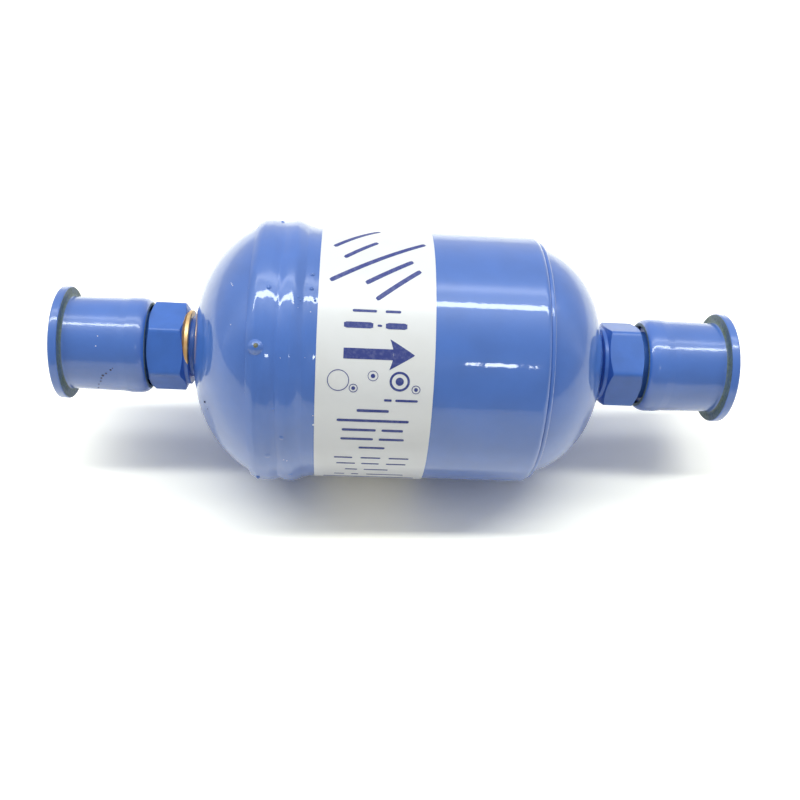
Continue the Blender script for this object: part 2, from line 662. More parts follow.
def makeShell():
    # a tube, square at the inlet's end and rounded over at the outlet's
    wall, rounding = shellTube["wall"], shellTube["endRound"]
    corners = [
        (shellLow.x, shellRadius - wall, 0),
        (shellLow.x, shellRadius, 0),
        (shellHigh.x, shellRadius, rounding),
        (shellHigh.x, shellRadius - wall, 0),
    ]
    profile = roundedPath(corners, 0.55 * mm)

    def shaping(station, radius, angle):
        # the skin of the lap joint as far as the label, and long faint waves in the film everywhere
        outer = radius > shellRadius - 0.02 * mm
        edge = np.clip((labelLow.x - station) / shellTube["labelFade"], 0, 1)
        covered = np.clip((lapWeld["end"] - station) / lapWeld["toeWidth"], 0, 1)
        seat = np.clip((station - skirtEdge) / shellTube["lapFade"], 0, 1)
        low = (np.maximum(bandSkin(station, angle, True), 0) * edge - lapWeld["toe"] * covered) * seat
        film = shellTube["wave"] * wave(angle, shellTube["waveOrders"], phases[2])
        along = np.sin(shellTube["waveAlong"] * station + 3 * np.sin(4 * angle))
        film = film + 0.5 * shellTube["wave"] * along
        return radius + 0 * angle + np.where(outer, low + film, 0)

    shape = turnedMesh(profile, shellTube["segments"], shaping)
    finishMesh("shellSkin", shape, [blueEnamel], "drier", ["shell"])


makeShell()
print("shell made")

outletDome = {
    "wall": 1.2 * mm,
    "knuckleRadius": 17.5 * mm,
    "skirtRadius": shellRadius - 1.25 * mm,
    "holeRadius": 5.5 * mm,
    "flats": 0.02 * mm,       # faint flats left by the press, as waves round and along
    "flatOrders": (2, 3, 6, 8, 9),
    "flatAlong": 300,
    "flatFade": 4 * mm,
    "arcRows": 60,
    "segments": 360,
}


def makeOutletDome():
    # a flat crown and a quarter circle down to a straight skirt, and the same a wall further in
    size = outletDome
    knuckle, inner = size["knuckleRadius"], size["knuckleRadius"] - size["wall"]
    centreX = outletCrown - knuckle
    centreR = size["skirtRadius"] - knuckle
    turn = np.linspace(0, pi / 2, size["arcRows"])
    flat = np.linspace(size["holeRadius"], centreR, 4)[:-1]
    crown = np.stack((0 * flat + outletCrown, flat), axis=1)
    arc = np.stack((centreX + knuckle * np.cos(turn), centreR + knuckle * np.sin(turn)), axis=1)
    back = turn[::-2]
    inside = np.stack((centreX + inner * np.cos(back), centreR + inner * np.sin(back)), axis=1)
    ends = np.array([
        [outletLow.x, size["skirtRadius"]],
        [outletLow.x, size["skirtRadius"] - size["wall"]],
    ])
    crownInside = np.array([[outletCrown - size["wall"], size["holeRadius"]]])
    profile = np.vstack((crown, arc, ends, inside, crownInside))

    def shaping(station, radius, angle):
        # the flats fade out at the crown
        lumps = size["flats"] * wave(angle, size["flatOrders"], phases[0])
        lumps = lumps * np.sin(size["flatAlong"] * station)
        return radius + lumps * np.clip((outletCrown - station) / size["flatFade"], 0, 1)

    shape = turnedMesh(profile, size["segments"], shaping)
    finishMesh("outletDomeSkin", shape, [blueEnamel], "drier", ["outlet_dome"])


seamBead = {"radius": 0.55 * mm, "sway": 0.06 * mm, "rows": 20, "segments": 360}


def makeSeam():
    # a round bead, a circle carried round X, laid in the corner where the dome comes out of the shell
    seamLow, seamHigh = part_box("outlet_seam")
    centreX = (seamLow.x + seamHigh.x) / 2
    turn = np.linspace(0, 2 * pi, seamBead["rows"], endpoint=False)
    thick = seamBead["radius"]
    centreR = seamHigh.z - thick
    profile = np.stack((centreX + thick * np.cos(turn), centreR + thick * np.sin(turn)), axis=1)

    def shaping(station, radius, angle):
        # the bead swells and thins a little on its way round
        return radius + seamBead["sway"] * (wave(angle, orders, phases[3]) - 1) * 0.5

    shape = turnedMesh(profile, seamBead["segments"], shaping)
    finishMesh("outletSeamBead", shape, [blueEnamel], "drier", ["outlet_seam"])


makeOutletDome()
makeSeam()
print("outlet dome and seam made")

hair = 0.01 * mm                   # slack in comparing places
fittingSize = {
    "neckRadius": 6.0 * mm,
    "neckLength": 1.9 * mm,
    "spigotRadius": 5.5 * mm,
    "spigotLength": 3.0 * mm,
    "acrossFlats": 15.875 * mm,
    "hexLength": 7.4 * mm,
    "inletTurn": 6,                # of the hexagon round the axis
    "outletTurn": 31,
    "washerRadius": 7.55 * mm,     # turned shoulder between hexagon and neck
    "washerLength": 0.8 * mm,
    "chamferAngle": 26,
    "hexRounding": 46,             # power that rounds the six edges
    "reliefRadius": threadRadius - 0.95 * mm,
    "reliefLength": 1.5 * mm,
    "threadLength": threadSize["length_mm"] * mm,
    "threadDepth": 0.86 * mm,      # 60 degree thread, 18 to the inch
    "pitch": 25.4 / 18 * mm,
    "threadFlat": 0.08,            # of crest and root, as a share of half a pitch
    "runIn": 1.2,                  # pitches over which the thread deepens
    "runInStart": 0.15,            # share of its depth that it starts with
    "runOut": 0.6,                 # pitches over which a chamfer ends it
    "runOutDepth": 0.45 * mm,
    "noseRootRadius": threadRadius - 0.45 * mm,
    "tipRadius": 4.1 * mm,
    "boreRadius": 3.6 * mm,
    "paintReach": 2.4 * mm,        # how far the paint covers the thread
    "paintFade": 0.3 * mm,
    "patch": (18, 140),            # angles between which the inlet's shoulder is rubbed bare
    "patchReach": 1.25 * mm,
    "patchFade": 0.15 * mm,
    "step": 0.1 * mm,              # between the profile's rows
    "segments": 192,
}


def makeFitting(name, node, crown, side, hexTurn, patch=None):
    # side is -1 for the inlet and 1 for the outlet; along is the distance from the dome's crown.
    # The profile runs from the spigot in the dome over neck, shoulder, hexagon, relief, thread and
    # conical nose, and back through the bore.
    size = fittingSize
    neck = size["neckLength"]
    hexEnd = neck + size["hexLength"]
    threadStart = hexEnd + size["reliefLength"]
    threadEnd = threadStart + size["threadLength"]
    tip = threadEnd + size["noseRootRadius"] - size["tipRadius"]
    apothem = size["acrossFlats"] / 2
    corner = apothem / cos(pi / 6)
    faceRadius = size["washerRadius"]
    chamferRun = (corner - faceRadius) * tan(radians(size["chamferAngle"]))
    washerStart = neck - size["washerLength"]
    corners = [
        (-size["spigotLength"], size["boreRadius"], 0),
        (-size["spigotLength"], size["spigotRadius"], 0),
        (0, size["spigotRadius"], 0),
        (0, size["neckRadius"], 0),
        (washerStart, size["neckRadius"], 0.2 * mm),
        (washerStart, faceRadius, 0.25 * mm),
        (neck, faceRadius, 0),
        (neck + chamferRun, corner, 0),
        (hexEnd - chamferRun, corner, 0),
        (hexEnd, faceRadius, 0),
        (hexEnd, size["reliefRadius"], 0.2 * mm),
        (threadStart, size["reliefRadius"], 0),
        (threadStart + hair, threadRadius, 0),
        (threadEnd, threadRadius, 0),
        (threadEnd, size["noseRootRadius"], 0),
        (tip, size["tipRadius"], 0.1 * mm),
        (tip, size["boreRadius"], 0.15 * mm),
    ]
    profile = roundedPath(corners, size["step"])
    keep = np.ones(len(profile), bool)      # the plain bore needs one row in ten
    inBore = profile[:, 1] < size["boreRadius"] + 0.1 * hair
    keep[inBore] = np.arange(inBore.sum()) % 10 == 0
    profile = profile[keep]

    def shaping(along, radius, angle):
        # the hexagon is the smaller of the turned profile and a polygon whose corners a high
        # power of cosines rounds; the thread is a 60 degree ridge that climbs a pitch each turn
        power, pitch, flat = size["hexRounding"], size["pitch"], size["threadFlat"]
        total = sum(np.abs(np.cos(angle - hexTurn - pi / 6 - n * pi / 3)) ** power for n in range(3))
        hexagon = apothem / total ** (1 / power)
        inHex = (along > neck - hair) & (along < hexEnd + hair)
        inHex = inHex & (radius > size["reliefRadius"] + 0.3 * mm)
        shaped = np.where(inHex, np.minimum(radius, hexagon), radius + 0 * angle)
        turns = (along - threadStart) / pitch + side * angle / (2 * pi)
        ridge = np.abs(turns % 1 - 0.5) * 2
        ridge = np.clip((ridge - flat) / (1 - 2 * flat), 0, 1)
        fadeIn = np.clip((along - threadStart) / (size["runIn"] * pitch), 0, 1)
        fadeOut = np.clip((threadEnd - along) / (size["runOut"] * pitch), 0, 1)
        groove = size["threadDepth"] * ridge * np.maximum(fadeIn, size["runInStart"])
        chamfer = size["runOutDepth"] * (1 - fadeOut)
        inThread = (radius > threadRadius - 0.1 * hair) & (along >= threadStart) & (along <= threadEnd)
        return np.where(inThread, radius - np.maximum(groove, chamfer), shaped)

    points, faceSets = turnedMesh(profile, size["segments"], shaping, turn=hexTurn)
    along = points[:, 0].copy()
    points[:, 0] = crown + side * along
    angle = np.arctan2(points[:, 2], -points[:, 1])
    radius = np.hypot(points[:, 1], points[:, 2])
    bare = np.clip((along - threadStart - size["paintReach"]) / size["paintFade"], 0, 1)
    bare = np.maximum(bare, (radius < size["boreRadius"] + 0.1 * mm) * 1.0)
    if patch:
        # the patch lies on the shoulder and tapers to both ends, as a power of half a sine wave
        low, high = np.radians(patch)
        share = np.clip((angle - low) / (high - low), 0, 1)
        reach = size["patchReach"] * np.sin(pi * share**0.8) ** 0.6
        rim = np.clip((washerStart + reach - along) / size["patchFade"], 0, 1)
        rim = rim * (radius > size["neckRadius"] + 0.4 * mm)
        bare = np.maximum(bare, rim * (share > 0) * (share < 1))
    finishMesh(
        name, (points, faceSets), [paintedBrass], "drier", [node], sharp=28, bare=bare,
    )


makeFitting(
    "inletFlareFitting", "inlet_fitting", inletCrown, -1, radians(fittingSize["inletTurn"]),
    fittingSize["patch"],
)
makeFitting("outletFlareFitting", "outlet_fitting", outletCrown, 1, radians(fittingSize["outletTurn"]))

brazeRing = {"rise": 0.5 * mm, "swell": 0.25, "rows": 12, "segments": 180}


def makeBraze(name, node, side):
    # a hollow fillet between neck and dome, its face a quarter circle curved inwards, thicker here
    # and thinner there
    low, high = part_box(node)
    foot = high.z
    neckRadius = fittingSize["neckRadius"]
    crown = inletCrown if side < 0 else outletCrown
    under = high.x if side < 0 else low.x
    bend = np.linspace(0, pi / 2, brazeRing["rows"])
    run = brazeRing["rise"] * (1 - np.sin(bend)) * side
    out = neckRadius + (foot - neckRadius) * (1 - np.cos(bend))
    face = np.stack((crown + run, out), axis=1)
    profile = np.vstack((face, [[under, foot], [under, neckRadius]]))

    def shaping(station, radius, angle):
        # it stands out from the neck by a share that waves on the way round
        lump = 1 - brazeRing["swell"] * (1 + wave(angle, orders, phases[4])) / 2
        return neckRadius + (radius - neckRadius) * lump

    shape = turnedMesh(profile, brazeRing["segments"], shaping)
    finishMesh(name, shape, [blueEnamel], "drier", [node])


makeBraze("inletBrazeFillet", "inlet_braze_ring", -1)
makeBraze("outletBrazeFillet", "outlet_braze_ring", 1)
print("fittings made")

capSize = {
    "boreRadius": threadRadius + 0.65 * mm,
    "lipRadius": threadRadius + 0.2 * mm,
    "lipWidth": 0.5 * mm,
    "endWall": 1.6 * mm,
    "barrelWall": 0.95 * mm,
    "rootWall": 0.75 * mm,
    "beadWall": 1.15 * mm,
    "beadWidth": 3.7 * mm,
    "beadRun": 1.6 * mm,
    "mouthRound": 2.2 * mm,
    "mouthDrop": 1.3 * mm,
    "flangeReach": 2.8 * mm,
    "flangeThickness": 1.8 * mm,
    "headRecess": 0.4 * mm,
    "headRim": 1.6 * mm,
    "gateRadius": 1.3 * mm,
    "gateDepth": 0.25 * mm,
    "warp": 0.06 * mm,
    "warpOrders": (2, 3, 4, 5, 7),
    "step": 0.35 * mm,       # between the profile's rows
    "segments": 220,
}


def makeCap(name, node, body, side):
    # side is -1 for the inlet and 1 for the outlet; along is the distance from the cap's mouth. The
    # profile starts on the axis at the head's gate mark, and ends on it at the floor of the bore.
    size = capSize
    low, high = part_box(node)
    length = high.x - low.x
    mouthX = high.x if side < 0 else low.x
    bore = size["boreRadius"]
    barrel, bead = bore + size["barrelWall"], bore + size["beadWall"]
    flange = bore + size["flangeReach"]
    headFace = length - size["headRecess"]
    flangeStart = length - size["flangeThickness"]
    rimInner = flange - size["headRim"]
    mouth = [      # a quarter of an ellipse
        (size["mouthRound"] * (1 - sin(t)), bead - size["mouthDrop"] * (1 - cos(t)), 0)
        for t in np.linspace(0, pi / 2, 12)
    ]
    corners = [
        (headFace - size["gateDepth"], 0, 0),
        (headFace - size["gateDepth"], size["gateRadius"], 0.1 * mm),
        (headFace, size["gateRadius"] + 0.2 * mm, 0.15 * mm),
        (headFace, rimInner - size["headRecess"], 0.3 * mm),
        (length, rimInner, 0.3 * mm),
        (length, flange, 0.45 * mm),
        (flangeStart, flange, 0.35 * mm),
        (flangeStart, bore + size["rootWall"], 0.7 * mm),
        (size["beadWidth"] + size["beadRun"], barrel, 2 * mm),
        (size["beadWidth"], bead, 2 * mm),
        *mouth,
        (0, size["lipRadius"], 0.1 * mm),
        (size["lipWidth"], size["lipRadius"], 0.1 * mm),
        (size["lipWidth"] + bore - size["lipRadius"], bore, 0.1 * mm),
        (length - size["endWall"], bore, 0.4 * mm),
        (length - size["endWall"], 0, 0),
    ]
    profile = roundedPath(corners, size["step"], closed=False)

    def shaping(along, radius, angle):
        # thin moulded wall: a little out of round, more towards the mouth
        loose = np.clip(1 - along / length, 0, 1)
        bend = (1 + wave(angle, size["warpOrders"], phases[1])) * 0.5
        return radius * (1 - size["warp"] / bore * bend * loose)

    points, faceSets = turnedMesh(profile, size["segments"], shaping)
    along, radius = points[:, 0].copy(), np.hypot(points[:, 1], points[:, 2])
    points[:, 0] = mouthX + side * along
    piece = finishMesh(
        name, (points, faceSets), [capEnamel, olivePolythene], body, [node], sharp=40,
    )
    # the flange's back face and the inside are bare, told by the mean place of each face's corners
    alongHere = np.concatenate([along[faces].mean(axis=1) for faces in faceSets])
    radiusHere = np.concatenate([radius[faces].mean(axis=1) for faces in faceSets])
    underFlange = np.abs(alongHere - flangeStart) < 0.6 * mm
    underFlange &= (radiusHere > bore + size["rootWall"] + 0.12 * mm) & (radiusHere < flange - 0.2 * mm)
    inside = (radiusHere < bore + 0.15 * mm) & (alongHere < length - size["endWall"] + hair)
    piece.data.polygons.foreach_set("material_index", (underFlange | inside).astype(np.int32))


makeCap("inletSealingCap", "inlet_cap", "inlet_cap", -1)
makeCap("outletSealingCap", "outlet_cap", "outlet_cap", 1)
print("caps made")

labelSize = {
    "gap": 4.0 * mm,          # between its two ends at the back
    "lift": 0.1 * mm,         # how far the ends stand off the shell
    "liftReach": 0.12,        # over this angle, in radians
    "crinkle": 0.03 * mm,     # height of the small waves along its edges
    "crinkleReach": 0.5 * mm,
    "rows": 260,
    "columns": 30,
}


def makeLabel():
    # a strip wrapped round the shell from one side of the gap at the back to the other; its ends
    # lift by the square of the way to them, and its crinkles die away exponentially from its edges
    halfGap = labelSize["gap"] / 2 / shellRadius
    angle = np.linspace(-pi + halfGap, pi - halfGap, labelSize["rows"])
    across = np.linspace(labelLow.x, labelHigh.x, labelSize["columns"])
    stationGrid, angleGrid = np.meshgrid(across, angle)
    lifted = labelSize["liftReach"]
    free = np.clip((np.abs(angleGrid) - pi + halfGap + lifted) / lifted, 0, 1) ** 2
    edge = np.minimum(stationGrid - labelLow.x, labelHigh.x - stationGrid)
    crinkle = labelSize["crinkle"] * np.sin(37 * angleGrid + 9 * np.sin(5 * angleGrid))
    crinkle = crinkle * np.exp(-edge / labelSize["crinkleReach"])
    stand = labelSize["lift"] * free + np.abs(crinkle)
    shape = plateMesh(stationGrid, angleGrid, shellRadius - hair, labelHigh.z + stand)
    finishMesh("labelBand", shape, [labelPaper], "drier", ["label_band"])


makeLabel()

# Bars stand for lines of print: station and angle of each end, and the bar's height. Rings stand
# for round marks: station, angle, outer radius and line width, and a middle dot's radius. All are
# in millimetres and degrees, and so is the arrow.
labelPrint = {
    "slantedBars": [
        (-13.8, 97.5, -5.1, 116.6, 0.85), (-11.8, 89.9, -5.6, 101.9, 0.85),
        (-14.3, 76.6, 3.5, 102.1, 0.9), (-7.7, 75.9, 1.0, 88.7, 0.9),
        (-5.7, 68.3, 2.4, 83.3, 0.9),
    ],
    # each row of level bars: its angle, the bars' height, and the two ends of each bar
    "levelRows": [
        (63.1, 0.5, (-10.0, -5.6), (-4.0, -1.2)),
        (57.0, 1.15, (-11.5, -6.2)), (57.0, 0.4, (-5.4, -4.6)), (57.0, 1.15, (-3.9, 0.0)),
        (26.2, 0.45, (-3.7, -2.3), (-1.6, 2.5)),
        (21.2, 0.55, (-8.6, -2.7)),
        (16.4, 0.55, (-12.2, 1.1)),
        (11.6, 0.55, (-11.2, -4.9), (-3.8, 0.2)),
        (6.6, 0.55, (-11.4, -5.3), (-4.2, 0.5)),
        (1.3, 0.55, (-7.9, -3.0)),
        (-6.0, 0.42, (-12.5, -9.0), (-7.4, -3.6), (-2.0, 1.8)),
        (-11.0, 0.42, (-12.0, -8.4), (-7.2, -3.8), (-2.4, 1.4)),
        (-17.3, 0.42, (-10.3, -7.9), (-6.6, -1.9)),
        (-24.4, 0.42, (-12.4, -10.4), (-9.0, -7.6), (-6.0, 1.3)),
        (-31.5, 0.8, (-14.6, 3.6)),
    ],
    "rings": [
        (-12.2, 34.1, 2.0, 0.14, 0.0), (-1.0, 34.4, 1.85, 0.42, 0.75),
        (-9.4, 31.0, 0.8, 0.12, 0.35), (-5.9, 36.4, 0.95, 0.1, 0.4), (2.05, 31.2, 0.8, 0.12, 0.35),
    ],
    "arrow": {
        "tail": -11.4, "neck": -2.7, "overlap": 0.35, "tip": 1.5, "barb": -3.0, "shoulder": -2.3,
        "middle": 45.3, "shaft": 0.98, "head": 2.75,
    },
    "low": labelHigh.z - 0.02 * mm,      # radii of the ink's two faces
    "high": labelHigh.z + 0.035 * mm,
}


def inkPlate(station, out, angle, closed=False):
    # a flat figure of stations and arc lengths, in millimetres, laid on the label round an angle
    turned = radians(angle) + out * mm / labelHigh.z
    return plateMesh(station * mm, turned, labelPrint["low"], labelPrint["high"], closed)


def inkBar(x0, a0, x1, a1, height):
    # a bar with round ends between two places: its half width follows a circle near each end
    rise = radians(a1 - a0) * labelHigh.z / mm
    long = sqrt((x1 - x0) ** 2 + rise**2)
    tilt = atan2(rise, x1 - x0)
    half = height / 2
    steps = max(2, ceil(long / 0.8))
    end = half * (1 - np.sin(np.linspace(0, pi / 2, 5)[::-1]))
    run = np.concatenate((end, np.linspace(half, long - half, steps)[1:-1], long - end[::-1]))
    reach = np.minimum(run, long - run)
    width = half * np.sqrt(np.clip(1 - (1 - np.clip(reach / half, 0, 1)) ** 2, 0.55, 1))
    u, v = np.meshgrid(run, np.linspace(-1, 1, 3), indexing="ij")
    v = v * width[:, None]
    return inkPlate(x0 + u * cos(tilt) - v * sin(tilt), u * sin(tilt) + v * cos(tilt), a0)


def inkRing(x, angle, radius, line, dot):
    # a ring, and where one is asked for, a dot in its middle: a square grid bent into a disc
    turn, out = np.meshgrid(2 * pi * np.arange(40) / 40, np.array([radius - line, radius]), indexing="ij")
    meshes = [inkPlate(x + out * np.cos(turn), out * np.sin(turn), angle, closed=True)]
    if dot:
        u, v = np.meshgrid(np.linspace(-1, 1, 9), np.linspace(-1, 1, 9), indexing="ij")
        across = u * np.sqrt(1 - v**2 / 2) * dot
        up = v * np.sqrt(1 - u**2 / 2) * dot
        meshes.append(inkPlate(x + across, up, angle))
    return joined(meshes)


def inkArrow(tail, neck, overlap, tip, barb, shoulder, middle, shaft, head):
    # a straight shaft, and a head that narrows almost evenly to its tip, its back swept forward
    # from the barbs to the shoulder by a power of the distance from the middle
    u, v = np.meshgrid(np.linspace(0, 1, 12), np.linspace(-1, 1, 9), indexing="ij")
    bar = inkPlate(tail + u * (neck + overlap - tail), v * shaft, middle)
    back = shoulder + (barb - shoulder) * np.abs(v) ** 1.6
    narrowing = (1 - u) ** 0.95 + 0.02
    return joined([bar, inkPlate(back + u * (tip - back), v * head * narrowing, middle)])


def makePrint():
    # every figure of the print as one piece
    figures = [inkBar(*bar) for bar in labelPrint["slantedBars"]]
    for angle, height, *bars in labelPrint["levelRows"]:
        figures += [inkBar(start, angle, end, angle, height) for start, end in bars]
    figures += [inkRing(*ring) for ring in labelPrint["rings"]]
    shape = joined(figures + [inkArrow(**labelPrint["arrow"])])
    finishMesh("labelPrint", shape, [labelInk], "drier")


makePrint()
print("label made")

# Small pieces on the paint: each has its material and its spots, with the station and angle of
# each spot, its radius and its height, in millimetres and degrees.
blemishes = {
    "paintDrops": {
        "material": runEnamel,
        "spots": [
            (-24.3, 117.7, 0.45, 0.3), (-25.3, 70.4, 0.5, 0.28), (-17.6, 71.7, 0.42, 0.3),
            (-17.6, 78.8, 0.45, 0.3), (-16.9, 66.6, 0.3, 0.25), (-27.0, 46.2, 1.5, 0.72),
            (-27.4, -25.8, 0.5, 0.55), (-23.85, 21.3, 0.35, 0.2), (-19.6, 66.0, 0.25, 0.12),
            (-20.0, 67.3, 0.3, 0.12), (-19.9, 64.2, 0.2, 0.1), (-22.2, 8.0, 0.6, 0.2),
            (-25.2, -3.0, 0.8, 0.16), (-21.0, -20.0, 0.7, 0.22), (-24.6, 150.0, 0.6, 0.3),
            (-21.2, 205.0, 0.8, 0.3), (-25.6, 232.0, 0.5, 0.35), (-17.9, 170.0, 0.45, 0.25),
            (-22.8, 265.0, 0.9, 0.35), (-26.2, 300.0, 0.6, 0.4), (26.6, 205.0, 0.5, 0.25),
        ],
    },
    "rustBlister": {"material": plain["rustUnderPaint"], "spots": [(-27.0, 46.6, 0.95, 0.84)]},
    "paleSpecks": {
        "material": plain["paperDust"],
        "spots": [
            (-22.6, 42.4, 0.11, 0.08), (-18.3, 42.8, 0.11, 0.08), (-20.7, 64.1, 0.13, 0.08),
            (-19.9, 62.6, 0.1, 0.06), (-18.2, 45.9, 0.08, 0.06), (-17.6, 61.5, 0.13, 0.07),
            (-32, 56, 0.12, 0.07), (-32.4, 76.4, 0.14, 0.08), (-32.2, 75.4, 0.13, 0.08),
            (-32.6, 77.3, 0.1, 0.07), (-21.4, -6.3, 0.16, 0.07), (-22, -5.7, 0.13, 0.07),
            (-16.5, 13.2, 0.28, 0.1), (-16.6, 17.8, 0.14, 0.08),
        ],
    },
    "chipsOnDome": {
        "material": plain["chippedToPrimer"],
        "spots": [(-37.4, 9.0, 0.3, 0.05), (-36.9, 5.5, 0.16, 0.05)],
    },
    "specksOnCap": {
        "material": plain["paperDust"],
        "spots": [(-59.2, 53.7, 0.11, 0.06), (-59.5, 41.9, 0.12, 0.06)],
    },
    "chipsOnCap": {
        "material": plain["chippedToPrimer"],
        "spots": [
            (-56.9, 12.4, 0.22, 0.03), (-56.5, 15.0, 0.14, 0.03), (-57.9, 7.0, 0.2, 0.03),
            (-58.6, 3.4, 0.26, 0.03), (-59.0, -1.0, 0.2, 0.03), (-59.3, -7.0, 0.18, 0.03),
            (-59.9, -14.0, 0.16, 0.03), (-60.4, -26.1, 0.18, 0.03), (-54.2, 70.0, 0.35, 0.04),
            (-53.6, 64.0, 0.16, 0.03),
        ],
    },
}
dropGrid = {"rings": 6, "spokes": 16, "innerRing": 0.15, "sunk": 0.05 * mm, "foot": 0.3 * mm}


def skinRadiusAt(station, angle):
    # radius of the painted skin there, from the dome's knuckle to the label
    return shellRadius + float(bandSkin(np.array(station), np.array(angle), station > skirtEdge))


def dropMesh(station, angle, radius, height, skin):
    # a flattened drop: height times the cosine of a quarter turn's share of its spread, closed by
    # a shallow cone under the skin
    rings, spokes = dropGrid["rings"], dropGrid["spokes"]
    turns = 2 * pi * np.arange(spokes) / spokes
    spread, turn = np.meshgrid(np.linspace(dropGrid["innerRing"], 1, rings), turns, indexing="ij")
    out = spread * radius
    lift = height * np.cos(spread * pi / 2) - dropGrid["sunk"]
    cap = onRound(station + out * np.cos(turn), skin + lift, angle + out * np.sin(turn) / skin)
    poles = onRound(station, np.array([skin + height - dropGrid["sunk"], skin - dropGrid["foot"]]), angle)
    count = rings * spokes
    index = np.arange(count).reshape(rings, spokes)
    beside = np.roll(index, -1, axis=1)
    return np.vstack((cap.reshape(-1, 3), poles)), [
        np.stack((index[:-1], beside[:-1], beside[1:], index[1:]), axis=-1).reshape(-1, 4),
        np.stack((beside[0], index[0], np.full(spokes, count)), axis=1),
        np.stack((index[-1], beside[-1], np.full(spokes, count + 1)), axis=1),
    ]


def makeBlemish(name, body, skinRadius=None):
    # all spots of one kind as one piece, on the skin round the lap joint unless a radius is given
    meshes = []
    for station, angle, radius, height in blemishes[name]["spots"]:
        skin = skinRadius or skinRadiusAt(station * mm, radians(angle))
        meshes.append(dropMesh(station * mm, radians(angle), radius * mm, height * mm, skin))
    shape = joined(meshes)
    finishMesh(name, shape, [blemishes[name]["material"]], body)


for name in ("paintDrops", "rustBlister", "paleSpecks", "chipsOnDome"):
    makeBlemish(name, "drier")
for name in ("specksOnCap", "chipsOnCap"):
    makeBlemish(name, "inlet_cap", capSize["boreRadius"] + capSize["barrelWall"])
print("beads and chips made")

# the inner nodes keep their CAD shapes
innerFinish = {
    "inlet_diffuser": plain["pressedSteel"],
    "spring_plate": plain["pressedSteel"],
    "outlet_plate": plain["pressedSteel"],
    "core_spring": plain["drawnSpringWire"],
    "outlet_screen": plain["stainlessScreen"],
    "inlet_filter_pad": plain["glassFibreFelt"],
    "outlet_filter_pad": plain["glassFibreFelt"],
    "core_seal_ring": plain["glassFibreFelt"],
    "desiccant_core": desiccantBeads,
}
for nodeName, material in innerFinish.items():
    mesh = nodes[nodeName].data
    if not mesh.materials:
        mesh.materials.append(material)
    for place in range(len(mesh.materials)):
        mesh.materials[place] = material
print("inner nodes finished")


def raysThatSee(tree):
    # 1 for a ray from the camera or from a shiny or clear surface, and 1 for the camera's alone
    path = addNode(tree, "LightPath").outputs
    direct = path["Is Camera Ray"]
    shiny = addNode(tree, "Math", {0: direct, 1: path["Is Glossy Ray"]}, operation="MAXIMUM")
    seen = addNode(tree, "Math", {0: shiny, 1: path["Is Transmission Ray"]}, operation="MAXIMUM")
    return seen, direct


floorSize = {
    "half": 3.0,
    "underBand": Vector((-22 * mm, 0, -26.9 * mm)),   # it rests on the lap band
    "underShell": Vector((26 * mm, 0, -25.4 * mm)),   # and on the end of the shell
    "white": "#dddcdb",
    "cloud": "#dbdbdb",
    "cloudWidth": 60 * mm,
    "seen": "#e0dac8",   # added to it for the camera and for reflections, so that it shows white
}


def makeFloor():
    # a flat sheet of white laminate through the two places that the drier rests on
    along = (floorSize["underShell"] - floorSize["underBand"]).normalized()
    side = Vector((0, 1, 0))
    middle = (floorSize["underShell"] + floorSize["underBand"]) / 2
    reach = floorSize["half"]
    ends = ((-1, -1), (1, -1), (1, 1), (-1, 1))
    corners = [tuple(middle + along * a * reach + side * b * reach) for a, b in ends]
    mesh = bpy.data.meshes.new("floor")
    mesh.from_pydata(corners, [], [(0, 1, 2, 3)])
    floor = bpy.data.objects.new("floor", mesh)
    bpy.context.scene.collection.objects.link(floor)
    material, tree, place = newMaterial("whiteLaminate")
    whites = pair(floorSize, "white", "cloud")
    colour = mottled(tree, place, whites, floorSize["cloudWidth"], rise=(0.3, 0.7))[-1]
    sheet = addNode(tree, "BsdfDiffuse", {"Color": colour})
    more = addNode(tree, "BsdfDiffuse", {"Color": linear(floorSize["seen"])})
    brighter = addNode(tree, "AddShader", {0: sheet, 1: more})
    shader = addNode(tree, "MixShader", {0: raysThatSee(tree)[0], 1: sheet, 2: brighter})
    addNode(tree, "OutputMaterial", {"Surface": shader})
    mesh.materials.append(material)


makeFloor()
print("floor made")

# Heights are angles from -Y up through +Z, in degrees. All but the strip and the spot come from
# the world: a room that is dim on the camera's side and brighter behind, with a broad glow
# overhead and a narrower soft panel just behind it.
lamps = {
    "room": {"front": 0.17, "back": 0.36},
    "shown": {"front": 0.36, "back": 0.5},       # more of it for the camera and for reflections
    "roomSpan": (-0.3, 0.9),                     # from front to back, as the Y of the direction
    "glow": {"height": 95, "spread": 28, "radiance": 0.55},
    "panel": {"height": 110, "spread": 4.5, "radiance": 3.0},
    "panelReach": 0.72,                          # where the panel ends sideways, as X
    "panelFade": 0.15,
    "cool": (0.94, 1.0, 1.06, 1),
    "tint": (0.98, 1.03, 1.0),                   # the faint green of a discharge tube
    "strip": {
        "height": 92.4, "sideways": 0, "shift": -0.45, "distance": 1.2,
        "long": 2.5, "wide": 0.1, "radiance": 15.5,
    },
    "spot": {
        "height": 39.7, "sideways": 10, "shift": 0, "distance": 1.2,
        "long": 0.07, "wide": 0.06, "radiance": 20,
    },
}


